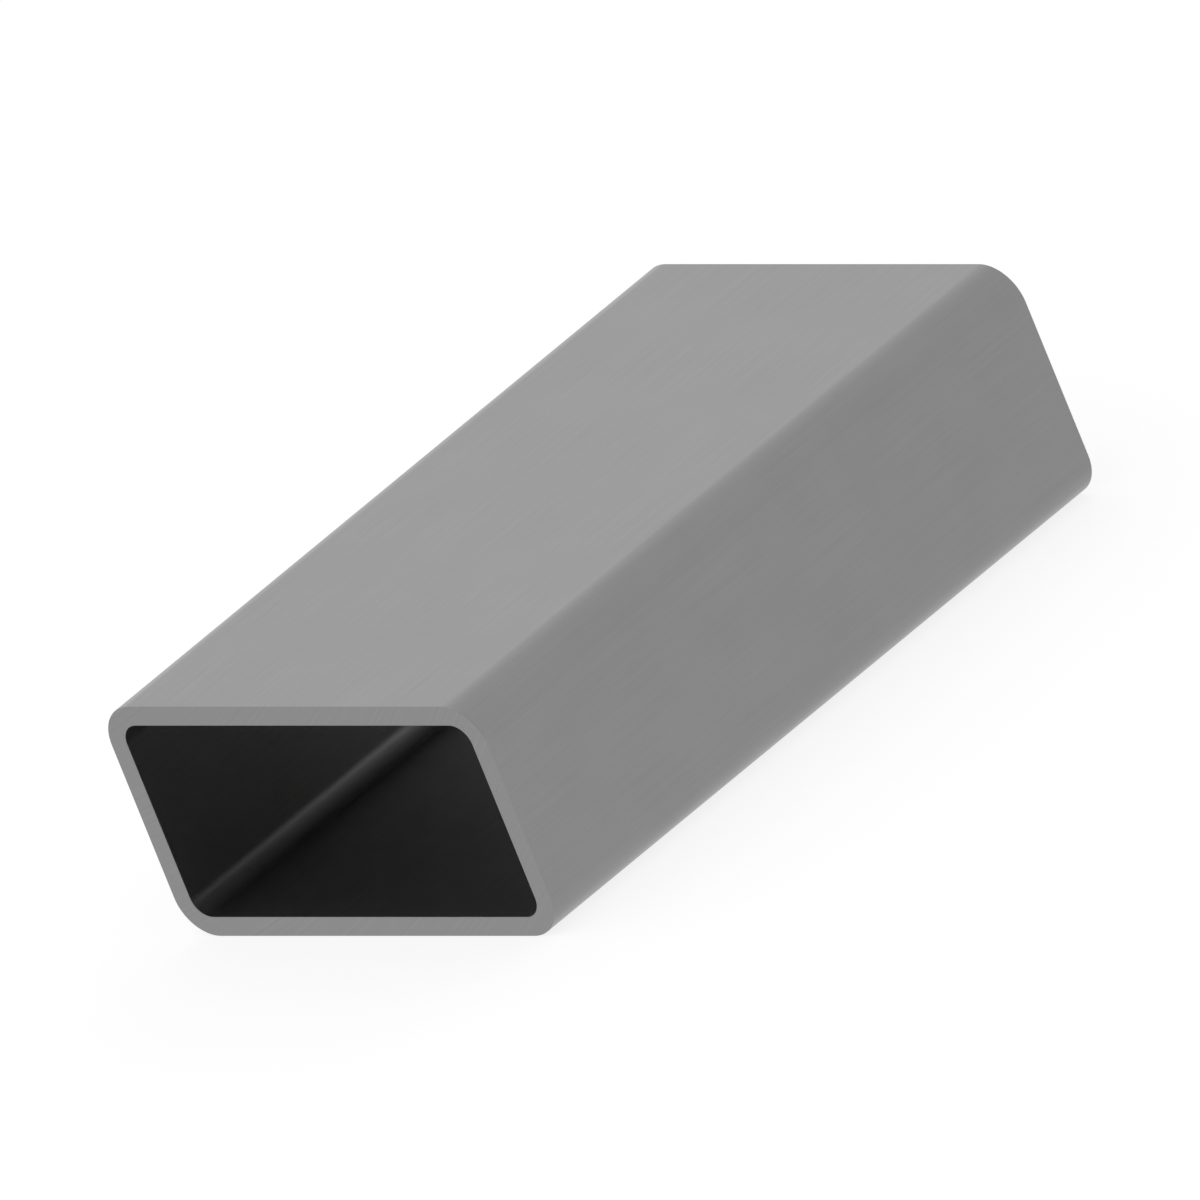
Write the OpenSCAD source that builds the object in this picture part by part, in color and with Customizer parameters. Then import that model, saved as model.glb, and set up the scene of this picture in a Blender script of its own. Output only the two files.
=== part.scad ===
// Rectangular hollow section: a short length of cold-formed metal tube with
// rounded corners, sawn square at both ends and open from end to end.
// It lies on one of its two wide sides. The tube runs along Y, Z is up, and
// the origin is the centre of its underside.

/* [Section] */
// Outside width, measured across the two narrow sides
tube_width = 60; // [24:1:200]
// Outside height, measured across the two wide sides
tube_height = 30; // [24:1:200]
// Thickness of the wall, the same all round
wall = 2.5; // [1:0.1:4.5]
// Outside radius of the four corners, where the strip was bent
corner_radius = 5; // [3:0.5:9]

/* [Length] */
// Length between the two sawn ends
tube_length = 100; // [20:1:1000]
// Depth of the small bevel where the burr was taken off the sawn edges
edge_break = 0.1; // [0.05:0.05:0.4]

/* [Hidden] */
// The strip keeps its thickness round a bend, so both radii share one centre
bore_radius = corner_radius - wall;
bore_width = tube_width - 2 * wall;
bore_height = tube_height - 2 * wall;
// How far the cutter for the bore runs out past each end of the tube
overrun = 1;
$fn = 96;

// Side view of a bar, with its length along x: a slope of 45 degrees at each
// end takes the bevel off both sides, and a negative bevel flares them out.
function bar_outline(length, thickness, bevel) =
    let (end = length / 2, side = thickness / 2, run = abs(bevel))
    [
        [-end, bevel - side],
        [run - end, -side],
        [end - run, -side],
        [end, bevel - side],
        [end, side - bevel],
        [end - run, side],
        [run - end, side],
        [-end, side - bevel]
    ];

// The same slopes on one rounded corner: half a bar's outline, from the axis
// of the corner outwards, with its length along y.
function corner_profile(length, radius, bevel) =
    let (end = length / 2, run = abs(bevel))
    [
        [0, -end],
        [radius - bevel, -end],
        [radius, run - end],
        [radius, end - run],
        [radius - bevel, end],
        [0, end]
    ];

// A bar along Y with a rounded rectangular section, bevelled or flared at
// both ends.
module rounded_bar(width, height, length, radius, bevel) {
    // Between the corners, from the lower wide side to the upper one
    rotate([90, 0, 90])
        linear_extrude(width - 2 * radius, center = true)
            polygon(bar_outline(length, height, bevel));
    // Between the corners, from one narrow side to the other
    rotate([0, 0, 90])
        linear_extrude(height - 2 * radius, center = true)
            polygon(bar_outline(length, width, bevel));
    for (x = [-1, 1], z = [-1, 1])
        translate([x * (width / 2 - radius), 0, z * (height / 2 - radius)])
            rotate([90, 0, 0])
                rotate_extrude()
                    polygon(corner_profile(length, radius, bevel));
}

module tube() {
    color("#8b8b8b")
        translate([0, 0, tube_height / 2])
            difference() {
                rounded_bar(
                    tube_width, tube_height, tube_length,
                    corner_radius, edge_break
                );
                rounded_bar(
                    bore_width, bore_height, tube_length + 2 * overrun,
                    bore_radius, -(edge_break + overrun)
                );
            }
}

tube();
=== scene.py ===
"""Dresses a short length of rectangular hollow section, sawn square at both ends.

The tube lies on one of its wide sides, along Y, with Z up. The origin is the centre of its
underside, and lengths are in metres unless a name ends in mm.
"""

import logging
import math
from dataclasses import dataclass
from enum import Enum
from itertools import accumulate

import bmesh
import bpy
from mathutils import Matrix, Vector


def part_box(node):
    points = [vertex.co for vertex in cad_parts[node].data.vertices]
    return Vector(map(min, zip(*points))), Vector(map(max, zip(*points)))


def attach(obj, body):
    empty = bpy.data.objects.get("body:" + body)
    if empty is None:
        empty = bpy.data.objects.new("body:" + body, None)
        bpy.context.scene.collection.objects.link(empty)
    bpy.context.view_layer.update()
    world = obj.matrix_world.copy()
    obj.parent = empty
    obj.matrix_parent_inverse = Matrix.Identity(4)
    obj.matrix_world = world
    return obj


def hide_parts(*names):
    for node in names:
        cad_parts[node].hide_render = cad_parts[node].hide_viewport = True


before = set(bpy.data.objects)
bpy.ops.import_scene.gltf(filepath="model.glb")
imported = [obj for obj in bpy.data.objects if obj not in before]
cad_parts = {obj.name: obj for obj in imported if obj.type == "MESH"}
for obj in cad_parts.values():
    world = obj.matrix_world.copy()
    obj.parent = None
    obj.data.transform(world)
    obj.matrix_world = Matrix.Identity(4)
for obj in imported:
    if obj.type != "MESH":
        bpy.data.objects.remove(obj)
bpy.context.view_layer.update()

MM = 0.001
BEND = "bend"
WHITE = (1.0, 1.0, 1.0, 1.0)
LOG = logging.getLogger("hollow_section")

# A Mix node has many sockets of the same name, so they are told apart by number
FACTOR, NUMBER_A, NUMBER_B, COLOUR_A, COLOUR_B = 0, 2, 3, 6, 7
MIXED_NUMBER, MIXED_COLOUR = 0, 2


class Zone(Enum):
    """The kinds of surface on a sawn length of tube, by the material slot that each takes."""

    SKIN = 0
    BORE = 1
    SAWN = 2


def linear(colour: str) -> tuple[float, float, float, float]:
    """Turns an sRGB colour into the linear one that a shader takes.

    Args:
        colour: The colour as #rrggbb.

    Returns:
        Red, green and blue from 0 to 1, and an alpha of 1.
    """
    parts = [int(colour[at:at + 2], 16) / 255 for at in (1, 3, 5)]
    red, green, blue = (
        part / 12.92 if part <= 0.04045 else ((part + 0.055) / 1.055) ** 2.4 for part in parts
    )
    return red, green, blue, 1.0


def add_node(
    tree: bpy.types.NodeTree,
    kind: str,
    settings: dict[str, object] | None = None,
    inputs: dict[str | int, object] | None = None,
) -> bpy.types.Node:
    """Adds a node to a tree, sets it up and links it.

    Args:
        tree: The tree that gets the node.
        kind: Blender's name for the kind of node.
        settings: Values for the node's own properties.
        inputs: For an input's name or number, its value or the output that feeds it.

    Returns:
        The new node.
    """
    node = tree.nodes.new(kind)
    for name, value in (settings or {}).items():
        setattr(node, name, value)
    for name, value in (inputs or {}).items():
        if isinstance(value, bpy.types.NodeSocket):
            tree.links.new(value, node.inputs[name])
        else:
            node.inputs[name].default_value = value
    return node


def empty_material(name: str) -> bpy.types.Material:
    """Makes a material whose tree holds no node yet.

    Args:
        name: The material's name.

    Returns:
        The new material.
    """
    material = bpy.data.materials.new(name)
    material.use_nodes = True
    material.node_tree.nodes.clear()
    return material


def bare_steel(
    tree: bpy.types.NodeTree,
    colour: bpy.types.NodeSocket,
    roughness: bpy.types.NodeSocket,
    marks: bpy.types.NodeSocket,
    depth: float,
) -> None:
    """Ends a finish: metal all through, with its marks as a fine relief.

    Args:
        tree: The finish's tree.
        colour: The output that gives the steel's colour.
        roughness: The output that gives its roughness.
        marks: The output that runs from 0 in the hollows of the marks to 1 on their crests.
        depth: Height of the marks, from hollow to crest.
    """
    relief = add_node(tree, "ShaderNodeBump", inputs={"Height": marks, "Distance": depth})
    steel = add_node(
        tree, "ShaderNodeBsdfPrincipled",
        inputs={
            "Base Color": colour,
            "Metallic": 1.0,
            "Roughness": roughness,
            "Normal": relief.outputs["Normal"],
        },
    )
    add_node(tree, "ShaderNodeOutputMaterial", inputs={"Surface": steel.outputs["BSDF"]})


@dataclass(frozen=True)
class RolledSteel:
    """Mild steel strip, cold rolled and bent to a tube: satin grey, faintly lined and clouded.

    The rolls leave fine lines along the strip, and the film of oil on it clouds its grey. The
    outside of a bend is ironed smooth by the mill. Its inside is crushed and dull, with painted shade.

    Attributes:
        name: The material's name.
        clear: Colour where the film is thin.
        clouded: Colour where the film is thick, and the colour of the painted shade in a bend.
        roughness: Roughness in the smooth lines and in the rough ones.
        bend_roughness: Roughness that the middle of a bend has on top of that.
        bend_painted_shade: Share of painted shade, towards the clouded colour, that a bend's middle
            has on top.
        line_share: Share of the lines in the unevenness of the grey. The rest is clouds.
        line_width_mm: Width of a rolling line. Real ones are 0.02 to 0.1 mm, too fine to show.
        line_length_mm: How far a rolling line runs before it fades.
        line_depth_mm: Height of the lines, from hollow to crest.
        cloud_mm: Size of a cloud in the film.
        cloud_detail: How many times over a cloud's edge is broken up into smaller ones.
    """

    name: str
    clear: str
    clouded: str
    roughness: tuple[float, float]
    bend_roughness: float = 0.0
    bend_painted_shade: float = 0.0
    line_share: float = 0.55
    line_width_mm: float = 0.3
    line_length_mm: float = 18.0
    line_depth_mm: float = 0.001
    cloud_mm: float = 9.0
    cloud_detail: float = 3.0

    def material(self) -> bpy.types.Material:
        """Builds the finish.

        Returns:
            The finish as a material.
        """
        material = empty_material(self.name)
        tree = material.node_tree
        place = add_node(tree, "ShaderNodeTexCoord").outputs["Object"]
        bend = add_node(tree, "ShaderNodeAttribute", {"attribute_name": BEND}).outputs["Fac"]
        lines = self._lines(tree, place)
        bare_steel(
            tree,
            colour=self._grey(tree, place, lines, bend),
            roughness=self._sheen(tree, lines, bend),
            marks=lines,
            depth=self.line_depth_mm * MM,
        )
        return material

    def _lines(
        self, tree: bpy.types.NodeTree, place: bpy.types.NodeSocket
    ) -> bpy.types.NodeSocket:
        """Draws the rolling lines, as noise that is stretched along the tube.

        Args:
            tree: The finish's tree.
            place: The output that gives a point's place.

        Returns:
            The output that runs from 0 in a hollow line to 1 on a crest.
        """
        across, along = (1 / (size * MM) for size in (self.line_width_mm, self.line_length_mm))
        stretched = add_node(
            tree, "ShaderNodeVectorMath", {"operation": "MULTIPLY"},
            {0: place, 1: (across, along, across)},
        )
        return add_node(
            tree, "ShaderNodeTexNoise", inputs={"Vector": stretched.outputs[0], "Scale": 1.0}
        ).outputs["Fac"]

    def _grey(
        self,
        tree: bpy.types.NodeTree,
        place: bpy.types.NodeSocket,
        lines: bpy.types.NodeSocket,
        bend: bpy.types.NodeSocket,
    ) -> bpy.types.NodeSocket:
        """Mixes the steel's grey from how thick the film of oil lies on it, and darkens the bends as
        painted shade.

        Args:
            tree: The finish's tree.
            place: The output that gives a point's place.
            lines: The output that gives the rolling lines.
            bend: The output that tells how far into a bend a point lies.

        Returns:
            The output that gives the colour.
        """
        clouds = add_node(
            tree, "ShaderNodeTexNoise",
            inputs={
                "Vector": place,
                "Scale": 1 / (self.cloud_mm * MM),
                "Detail": self.cloud_detail,
            },
        )
        uneven = add_node(
            tree, "ShaderNodeMix", {"data_type": "FLOAT"},
            {FACTOR: self.line_share, NUMBER_A: clouds.outputs["Fac"], NUMBER_B: lines},
        )
        # Painted shade: a bend's middle darkens towards the clouded grey, on top of the film's clouds
        # and lines
        film_and_bend_shade = add_node(
            tree, "ShaderNodeMath", {"operation": "MULTIPLY_ADD"},
            {0: bend, 1: self.bend_painted_shade, 2: uneven.outputs[MIXED_NUMBER]},
        )
        # The film's grey, with the painted shade of the bends in it
        film = add_node(
            tree, "ShaderNodeMix", {"data_type": "RGBA"},
            {
                FACTOR: film_and_bend_shade.outputs[0],
                COLOUR_A: linear(self.clear),
                COLOUR_B: linear(self.clouded),
            },
        )
        return film.outputs[MIXED_COLOUR]

    def _sheen(
        self,
        tree: bpy.types.NodeTree,
        lines: bpy.types.NodeSocket,
        bend: bpy.types.NodeSocket,
    ) -> bpy.types.NodeSocket:
        """Varies the roughness from line to line, and dulls the bends.

        Args:
            tree: The finish's tree.
            lines: The output that gives the rolling lines.
            bend: The output that tells how far into a bend a point lies.

        Returns:
            The output that gives the roughness.
        """
        smooth, rough = self.roughness
        flat = add_node(
            tree, "ShaderNodeMapRange", inputs={"Value": lines, "To Min": smooth, "To Max": rough}
        )
        return add_node(
            tree, "ShaderNodeMath", {"operation": "MULTIPLY_ADD"},
            {0: bend, 1: self.bend_roughness, 2: flat.outputs["Result"]},
        ).outputs[0]


@dataclass(frozen=True)
class SawnSteel:
    """Mild steel freshly cut by a circular cold saw: a shade brighter than the rolled skin.

    The teeth leave shallow marks that all curve round the blade's centre.

    Attributes:
        name: The material's name.
        bright: Colour on the crest of a mark.
        dull: Colour in the hollow of a mark.
        roughness: Roughness on the crests and in the hollows.
        blade_radius_mm: Radius of the saw's blade.
        blade_side: Direction of the blade's centre from the tube: above it, to the left.
        mark_mm: Distance between marks. Real ones are 0.1 to 0.2 mm, just too fine to show.
        mark_depth_mm: Depth of the marks.
    """

    name: str
    bright: str
    dull: str
    roughness: tuple[float, float]
    blade_radius_mm: float = 140.0
    blade_side: tuple[float, float, float] = (-0.5, 0.0, 0.87)
    mark_mm: float = 0.35
    mark_depth_mm: float = 0.0005

    def material(self) -> bpy.types.Material:
        """Builds the finish.

        Returns:
            The finish as a material.
        """
        material = empty_material(self.name)
        tree = material.node_tree
        marks = self._marks(tree)
        shade = add_node(
            tree, "ShaderNodeMix", {"data_type": "RGBA"},
            {FACTOR: marks, COLOUR_A: linear(self.dull), COLOUR_B: linear(self.bright)},
        )
        crest, hollow = self.roughness
        sheen = add_node(
            tree, "ShaderNodeMapRange", inputs={"Value": marks, "To Min": hollow, "To Max": crest}
        )
        bare_steel(
            tree,
            colour=shade.outputs[MIXED_COLOUR],
            roughness=sheen.outputs["Result"],
            marks=marks,
            depth=self.mark_depth_mm * MM,
        )
        return material

    def _marks(self, tree: bpy.types.NodeTree) -> bpy.types.NodeSocket:
        """Draws the saw marks, as noise that follows the distance from the blade's centre.

        Args:
            tree: The finish's tree.

        Returns:
            The output that runs from 0 in the hollow of a mark to 1 on its crest.
        """
        place = add_node(tree, "ShaderNodeTexCoord").outputs["Object"]
        in_plane = add_node(
            tree, "ShaderNodeVectorMath", {"operation": "MULTIPLY"}, {0: place, 1: (1, 0, 1)}
        )
        reach = add_node(
            tree, "ShaderNodeVectorMath", {"operation": "DISTANCE"},
            {0: in_plane.outputs[0], 1: Vector(self.blade_side) * self.blade_radius_mm * MM},
        )
        return add_node(
            tree, "ShaderNodeTexNoise", {"noise_dimensions": "1D"},
            {"W": reach.outputs["Value"], "Scale": 1 / (self.mark_mm * MM)},
        ).outputs["Fac"]


@dataclass(frozen=True)
class Spot:
    """A point on an outline, and the direction that faces out of the outline there."""

    place: Vector
    facing: Vector


@dataclass(frozen=True)
class RoundedRectangle:
    """An outline with four rounded corners, centred on its own origin.

    Attributes:
        width: Size along the first axis.
        height: Size along the second axis.
        radius: Radius of the corners.
        arc_steps: Faces round each corner.
        longest_step: Longest face on a flat stretch.
    """

    width: float
    height: float
    radius: float
    arc_steps: int
    longest_step: float

    def spots(self) -> list[Spot]:
        """Walks round the outline from the first axis towards the second.

        Returns:
            The points in order, without the first one again at the end.
        """
        spots = []
        across, up = self.width / 2 - self.radius, self.height / 2 - self.radius
        corners = [(across, up), (-across, up), (-across, -up), (across, -up)]
        for quarter, corner in enumerate(corners):
            for step in range(self.arc_steps + 1):
                angle = (quarter + step / self.arc_steps) * math.pi / 2
                facing = Vector((math.cos(angle), math.sin(angle)))
                spots.append(Spot(Vector(corner) + facing * self.radius, facing))
            last = spots[-1]
            ahead = Vector(corners[(quarter + 1) % len(corners)]) - Vector(corner)
            count = math.ceil(ahead.length / self.longest_step)
            spots += [Spot(last.place + ahead * step / count, last.facing) for step in range(1, count)]
        return spots


def shares(spots: list[Spot]) -> list[float]:
    """Gives how far along a closed outline each of its points lies.

    Args:
        spots: The outline's points in order.

    Returns:
        A share of the way round for each point, and 1 for the first point again at the end.
    """
    lengths = [
        (after.place - before.place).length for before, after in zip(spots, spots[1:] + spots[:1])
    ]
    return [0.0] + [part / sum(lengths) for part in accumulate(lengths)]


@dataclass
class HollowSection:
    """The tube: its wall, seen from the side as a long thin outline, carried round its section.

    Attributes:
        width: Outside width.
        height: Outside height.
        length: Length between the sawn ends.
        skin: Finish of the outside.
        bore: Finish of the inside.
        sawn: Finish of the two ends.
        wall: Thickness of the wall.
        corner_radius: Outside radius of the corners.
        edge_break: Radius left on the sawn edges where the burr was taken off.
        corner_faces: Faces round each corner.
        edge_faces: Faces round each sawn edge.
        longest_face: Longest face on a flat stretch.
    """

    width: float
    height: float
    length: float
    skin: RolledSteel
    bore: RolledSteel
    sawn: SawnSteel
    wall: float = 2.5 * MM
    corner_radius: float = 5.0 * MM
    edge_break: float = 0.1 * MM
    corner_faces: int = 16
    edge_faces: int = 3
    longest_face: float = 5.0 * MM

    def build(self) -> bpy.types.Object:
        """Models the tube as one closed skin of four-sided faces.

        Returns:
            The tube, dressed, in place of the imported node.
        """
        section = RoundedRectangle(
            self.width, self.height, self.corner_radius, self.corner_faces, self.longest_face
        ).spots()
        profile = RoundedRectangle(
            self.length, self.wall, self.edge_break, self.edge_faces, self.longest_face
        ).spots()
        mesh = bpy.data.meshes.new("hollow_section")
        shape = bmesh.new()
        rings = [[shape.verts.new(self._place(out, side)) for side in profile] for out in section]
        normals = [self._facing(out, side) for out in section for side in profile]
        self._skin_over(shape, rings, section, profile)
        shape.to_mesh(mesh)
        shape.free()
        # Each point faces just as the real surface does, so a flat stays flat up to its bends
        mesh.normals_split_custom_set_from_vertices(normals)
        # How far into a bend each point lies: 0 on the flats, and 1 in the bend's middle
        bends = [2 * abs(out.facing.x * out.facing.y) for out in section for _ in profile]
        mesh.attributes.new(BEND, "FLOAT", "POINT").data.foreach_set("value", bends)
        piece = bpy.data.objects.new("hollow_section", mesh)
        bpy.context.scene.collection.objects.link(piece)
        self._dress(piece)
        return piece

    def _place(self, out: Spot, side: Spot) -> Vector:
        """Puts a point of the wall's outline where it comes on the section.

        Args:
            out: A point of the section's outside.
            side: A point of the wall's outline.

        Returns:
            The point's place on the tube.
        """
        sunk = side.place.y - self.wall / 2
        across, up = out.place + out.facing * sunk
        return Vector((across, side.place.x, up + self.height / 2))

    def _facing(self, out: Spot, side: Spot) -> Vector:
        """Turns the direction that a point of the wall's outline faces onto the section."""
        across, up = out.facing * side.facing.y
        return Vector((across, side.facing.x, up))

    def _skin_over(
        self,
        shape: bmesh.types.BMesh,
        rings: list[list[bmesh.types.BMVert]],
        section: list[Spot],
        profile: list[Spot],
    ) -> None:
        """Joins the rings of points with faces, each with its zone and its place on the map.

        Args:
            shape: The mesh that the faces go into.
            rings: For each point of the section, the wall's outline there.
            section: Points round the tube.
            profile: Points round the wall's outline.
        """
        chart = shape.loops.layers.uv.new("unrolled")
        round_tube, round_wall = shares(section), shares(profile)
        for turn, ring in enumerate(rings):
            next_ring = rings[(turn + 1) % len(rings)]
            for step, side in enumerate(profile):
                next_step = (step + 1) % len(profile)
                face = shape.faces.new(
                    (ring[step], next_ring[step], next_ring[next_step], ring[next_step])
                )
                face.smooth = True
                face.material_index = self._zone(side, profile[next_step]).value
                corners = ((turn, step), (turn + 1, step), (turn + 1, step + 1), (turn, step + 1))
                for loop, (across, along) in zip(face.loops, corners):
                    loop[chart].uv = (round_tube[across], round_wall[along])

    def _zone(self, start: Spot, end: Spot) -> Zone:
        """Tells which kind of surface lies between two points of the wall's outline.

        Args:
            start: The first point.
            end: The next one.

        Returns:
            The skin or the bore where the wall faces straight out or in, and else a sawn end.
        """
        outward = (start.facing.y + end.facing.y) / 2
        if not math.isclose(abs(outward), 1.0):
            return Zone.SAWN
        return Zone.SKIN if outward > 0 else Zone.BORE

    def _dress(self, piece: bpy.types.Object) -> None:
        """Gives the piece its finishes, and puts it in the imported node's place.

        Args:
            piece: The tube.
        """
        finishes = {Zone.SKIN: self.skin, Zone.BORE: self.bore, Zone.SAWN: self.sawn}
        for zone in Zone:
            piece.data.materials.append(finishes[zone].material())
        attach(piece, "root")
        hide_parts("tube")


@dataclass(frozen=True)
class Studio:
    """A white room with soft light from all round, and a pale floor that holds a faint shadow.

    The world gives the room's light: each wall and the ceiling has its own brightness, and
    they run softly into each other. The eye sees the room and the floor as plain white.

    Attributes:
        left, near, right, far, above: Brightness of the walls and the ceiling, where 1 is white.
        floor_size: Side of the square floor.
        floor_colour: Colour of the light that the floor throws back.
        floor_glow: Brightness of the floor to the eye: just over white, so that it stays plain
            white outside the shadow.
        shadow: How much of the tube's shadow the floor shows, from 0 to 1.
        lamp_power: Power of the large soft lamp, in watts.
        lamp_size: Side of the lamp.
        lamp_place: Where the lamp hangs.
    """

    left: float = 1.14
    near: float = 0.82
    right: float = 0.8
    far: float = 1.3
    above: float = 0.83
    floor_size: float = 8.0
    floor_colour: str = "#e6e6e6"
    floor_glow: float = 1.02
    shadow: float = 0.2
    lamp_power: float = 3.0
    lamp_size: float = 1.2
    lamp_place: tuple[float, float, float] = (-0.5, -0.4, 1.7)

    def build(self) -> None:
        """Sets up the room's light, the lamp and the floor."""
        self._light_room()
        self._hang_lamp()
        self._lay_floor()

    def _light_room(self) -> None:
        """Makes the world: the squares of a direction's parts share out the sides of the room.

        The steel mirrors this light, which is close to white all round. Only to the eye is it
        turned to plain white. Nothing shines from below, where the floor is.
        """
        world = bpy.data.worlds.new("white_room")
        bpy.context.scene.world = world
        world.use_nodes = True
        tree = world.node_tree
        tree.nodes.clear()
        direction = add_node(tree, "ShaderNodeTexCoord").outputs["Generated"]
        sides = {
            "MAXIMUM": (self.right, self.far, self.above),
            "MINIMUM": (self.left, self.near, 0.0),
        }
        glows = []
        for half, brightness in sides.items():
            part = add_node(
                tree, "ShaderNodeVectorMath", {"operation": half}, {0: direction, 1: (0, 0, 0)}
            ).outputs[0]
            square = add_node(
                tree, "ShaderNodeVectorMath", {"operation": "MULTIPLY"}, {0: part, 1: part}
            ).outputs[0]
            glows.append(add_node(
                tree, "ShaderNodeVectorMath", {"operation": "DOT_PRODUCT"},
                {0: square, 1: brightness},
            ).outputs["Value"])
        room = add_node(tree, "ShaderNodeMath", {"operation": "ADD"}, {0: glows[0], 1: glows[1]})
        path = add_node(tree, "ShaderNodeLightPath")
        strength = add_node(
            tree, "ShaderNodeMix", {"data_type": "FLOAT"},
            {FACTOR: path.outputs["Is Camera Ray"], NUMBER_A: room.outputs[0], NUMBER_B: 1.0},
        )
        glow = add_node(
            tree, "ShaderNodeBackground",
            inputs={"Color": WHITE, "Strength": strength.outputs[MIXED_NUMBER]},
        )
        add_node(tree, "ShaderNodeOutputWorld", inputs={0: glow.outputs[0]})

    def _hang_lamp(self) -> None:
        """Hangs one large square lamp and turns it to the tube."""
        light = bpy.data.lights.new("soft_lamp", "AREA")
        light.energy = self.lamp_power
        light.size = self.lamp_size
        lamp = bpy.data.objects.new("soft_lamp", light)
        lamp.location = self.lamp_place
        lamp.rotation_euler = (-Vector(self.lamp_place)).to_track_quat("-Z", "Y").to_euler()
        bpy.context.scene.collection.objects.link(lamp)

    def _lay_floor(self) -> None:
        """Lays the floor that the tube rests on."""
        half = self.floor_size / 2
        mesh = bpy.data.meshes.new("floor")
        mesh.from_pydata(
            [(-half, -half, 0), (half, -half, 0), (half, half, 0), (-half, half, 0)],
            [], [(0, 1, 2, 3)],
        )
        floor = bpy.data.objects.new("floor", mesh)
        bpy.context.scene.collection.objects.link(floor)
        mesh.materials.append(self._floor_material())

    def _floor_material(self) -> bpy.types.Material:
        """Makes matt white vinyl, which is white to the eye but for the tube's faint shadow.

        The steel mirrors it as plain white, and it throws the room's light back softly.

        Returns:
            The vinyl as a material.
        """
        material = empty_material("matt_white_vinyl")
        # The glow is only for what looks straight at the floor, so it isn't sampled as a lamp
        material.cycles.emission_sampling = "NONE"
        tree = material.node_tree
        path = add_node(tree, "ShaderNodeLightPath")
        white, glowing = (
            add_node(tree, "ShaderNodeEmission", inputs={"Color": WHITE, "Strength": glow})
            for glow in (1.0, self.floor_glow)
        )
        shaded = add_node(tree, "ShaderNodeBsdfDiffuse", inputs={"Color": WHITE})
        lit = add_node(
            tree, "ShaderNodeBsdfDiffuse", inputs={"Color": linear(self.floor_colour)}
        )
        seen = add_node(
            tree, "ShaderNodeMixShader",
            inputs={0: self.shadow, 1: glowing.outputs[0], 2: shaded.outputs[0]},
        )
        to_eye = add_node(
            tree, "ShaderNodeMixShader",
            inputs={0: path.outputs["Is Camera Ray"], 1: lit.outputs[0], 2: seen.outputs[0]},
        )
        mirrored = add_node(
            tree, "ShaderNodeMath", {"operation": "MAXIMUM"},
            {0: path.outputs["Is Glossy Ray"], 1: path.outputs["Is Transmission Ray"]},
        )
        to_metal = add_node(
            tree, "ShaderNodeMixShader",
            inputs={0: mirrored.outputs[0], 1: to_eye.outputs[0], 2: white.outputs[0]},
        )
        add_node(tree, "ShaderNodeOutputMaterial", inputs={"Surface": to_metal.outputs[0]})
        return material


@dataclass(frozen=True)
class ProductCamera:
    """A camera without perspective, rolled so that the tube's width lies level in the picture.

    Attributes:
        azimuth_deg: How far the camera stands round from the near sawn end, to the right.
        elevation_deg: How high it stands over the floor.
        frame_width: Width that the picture takes in.
        distance: How far it stands from the tube.
        reach: How far it sees.
    """

    azimuth_deg: float = 48.9
    elevation_deg: float = 20.86
    frame_width: float = 135.8 * MM
    distance: float = 0.6
    reach: float = 20.0

    def build(self, target: Vector) -> None:
        """Sets up the camera and aims it.

        Args:
            target: The point in the middle of the picture.
        """
        azimuth, elevation = math.radians(self.azimuth_deg), math.radians(self.elevation_deg)
        back = Vector((
            math.sin(azimuth) * math.cos(elevation),
            -math.cos(azimuth) * math.cos(elevation),
            math.sin(elevation),
        ))
        # Square to the tube's width as well as to the view, so the width lies level
        up = back.cross(Vector((1, 0, 0))).normalized()
        right = up.cross(back)
        data = bpy.data.cameras.new("product_camera")
        data.type = "ORTHO"
        data.ortho_scale = self.frame_width
        data.clip_end = self.reach
        camera = bpy.data.objects.new("product_camera", data)
        turned = Matrix((right, up, back)).transposed()
        camera.matrix_world = Matrix.Translation(target + back * self.distance) @ turned.to_4x4()
        bpy.context.scene.collection.objects.link(camera)
        bpy.context.scene.camera = camera


def main() -> None:
    """Builds the tube and the room round it, and reports each."""
    logging.basicConfig(level=logging.INFO, format="%(name)s: %(message)s")
    bpy.context.scene.view_settings.view_transform = "Standard"
    low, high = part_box("tube")
    size = high - low

    tube = HollowSection(
        width=size.x,
        height=size.z,
        length=size.y,
        skin=RolledSteel(
            "cold_rolled_steel", clear="#8e8e8e", clouded="#818181", roughness=(0.32, 0.38)
        ),
        # The inside is a lighter copy of the same steel: painted light that lifts the bore's tone
        bore=RolledSteel(
            "cold_rolled_steel_inside", clear="#a0a0a0", clouded="#8b8b8b",
            # bend_painted_shade darkens the bore's bends towards the clouded grey as painted shade
            roughness=(0.27, 0.33), bend_roughness=0.06, bend_painted_shade=1.0,
        ),
        sawn=SawnSteel("sawn_steel", bright="#8f8f8f", dull="#878787", roughness=(0.32, 0.38)),
    ).build()
    LOG.info("%s: %d faces", tube.name, len(tube.data.polygons))

    Studio().build()
    LOG.info("room: light, lamp and floor are set")
    ProductCamera().build(target=(low + high) / 2)
    LOG.info("camera: aimed at the middle of the tube")


if __name__ == "__main__":
    main()
